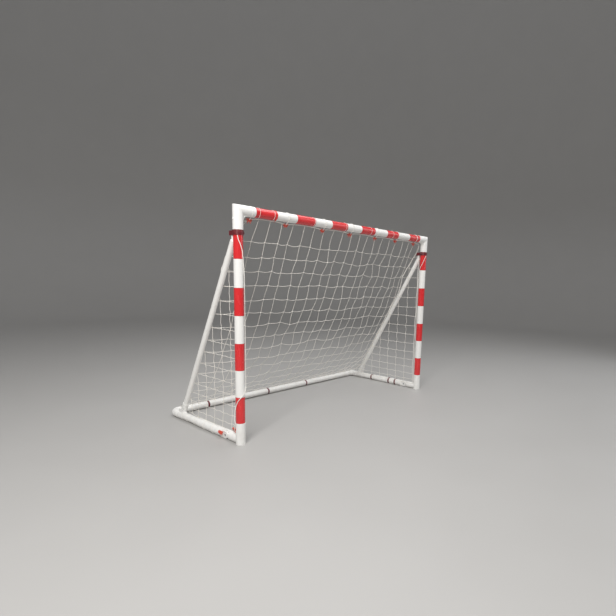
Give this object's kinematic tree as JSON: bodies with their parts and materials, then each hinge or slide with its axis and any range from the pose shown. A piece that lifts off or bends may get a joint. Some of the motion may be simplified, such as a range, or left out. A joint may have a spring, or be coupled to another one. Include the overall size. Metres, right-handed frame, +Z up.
{
  "type": "folding handball goal",
  "caption": "Folding sports goal with a striped tubular front frame, a hinged U-shaped base, swing-in stanchions, spring-button corners and a net over its back and sides.",
  "frame": {"origin": "on the floor, under the centre of the whole goal's box", "axes": "+X along the crossbar, +Y from the goal mouth to the rear rail, +Z up"},
  "size_m": [2.5586, 1.0742, 1.7412],
  "materials": {
    "white_tube": "smooth extruded plastic tube",
    "white_fitting": "moulded plastic, a little duller than the tubes",
    "red_tape": "glossy adhesive tape",
    "dark_clamp": "moulded dark maroon plastic",
    "steel": "plain zinc-plated steel",
    "net_cord": "twisted ivory cord",
    "tie_cord": "orange-red braided cord"
  },
  "bodies": {
    "front_frame": {"crossbar": "white_tube", "crossbar_band_1": "red_tape", "crossbar_band_2": "red_tape", "crossbar_band_3": "red_tape", "crossbar_band_4": "red_tape", "crossbar_band_5": "red_tape", "crossbar_band_6": "red_tape", "crossbar_tie_1": "tie_cord", "crossbar_tie_2": "tie_cord", "crossbar_tie_3": "tie_cord", "crossbar_tie_4": "tie_cord", "crossbar_tie_5": "tie_cord", "crossbar_tie_6": "tie_cord", "crossbar_tie_7": "tie_cord", "left_post": "white_tube", "left_post_band_1": "red_tape", "left_post_band_2": "red_tape", "left_post_band_3": "red_tape", "left_post_band_4": "red_tape", "left_top_corner": "white_fitting", "left_foot_corner": "white_fitting", "left_hinge_pin": "steel", "left_post_clamp": "dark_clamp", "left_clamp_bolt": "steel", "left_stanchion_pin": "steel", "left_button_spring": "steel", "right_post": "white_tube", "right_post_band_1": "red_tape", "right_post_band_2": "red_tape", "right_post_band_3": "red_tape", "right_post_band_4": "red_tape", "right_top_corner": "white_fitting", "right_foot_corner": "white_fitting", "right_hinge_pin": "steel", "right_post_clamp": "dark_clamp", "right_clamp_bolt": "steel", "right_stanchion_pin": "steel", "right_button_spring": "steel", "net_back": "net_cord", "net_left": "net_cord", "net_right": "net_cord"},
    "base_frame": {"rear_rail": "white_tube", "left_base_knuckle": "white_fitting", "left_side_rail": "white_tube", "left_rear_corner": "white_fitting", "left_rail_saddle": "white_fitting", "right_base_knuckle": "white_fitting", "right_side_rail": "white_tube", "right_rear_corner": "white_fitting", "right_rail_saddle": "white_fitting"},
    "left_stanchion": {"left_stanchion_tube": "white_tube", "left_stanchion_head": "white_fitting", "left_stanchion_foot": "white_fitting"},
    "right_stanchion": {"right_stanchion_tube": "white_tube", "right_stanchion_head": "white_fitting", "right_stanchion_foot": "white_fitting"},
    "left_button": {"left_corner_button": "white_fitting"},
    "right_button": {"right_corner_button": "white_fitting"}
  },
  "joints": [
    {"name": "base_fold", "type": "hinge", "parent": "front_frame", "child": "base_frame", "pos_m": [0, -0.33195, 0.034], "axis": [1, 0, 0], "range_deg": [0, 90], "deforming": ["net_back", "net_left", "net_right"]},
    {"name": "left_stanchion_swing", "type": "hinge", "parent": "front_frame", "child": "left_stanchion", "pos_m": [-1.234, -0.43515, 1.549], "axis": [0, 0, -1], "range_deg": [0, 88.9]},
    {"name": "right_stanchion_swing", "type": "hinge", "parent": "front_frame", "child": "right_stanchion", "pos_m": [1.234, -0.43515, 1.549], "axis": [0, 0, 1], "range_deg": [0, 88.9]},
    {"name": "left_button_press", "type": "slide", "parent": "front_frame", "child": "left_button", "axis": [1, 0, 0], "range_m": [0, 0.004], "stiffness_N_per_m": 800},
    {"name": "right_button_press", "type": "slide", "parent": "front_frame", "child": "right_button", "axis": [-1, 0, 0], "range_m": [0, 0.004], "stiffness_N_per_m": 800}
  ],
  "couplings": [
    {"joint": "left_stanchion_swing", "follows": "base_fold", "ratio": 0.9875},
    {"joint": "right_stanchion_swing", "follows": "base_fold", "ratio": 0.9875}
  ]
}
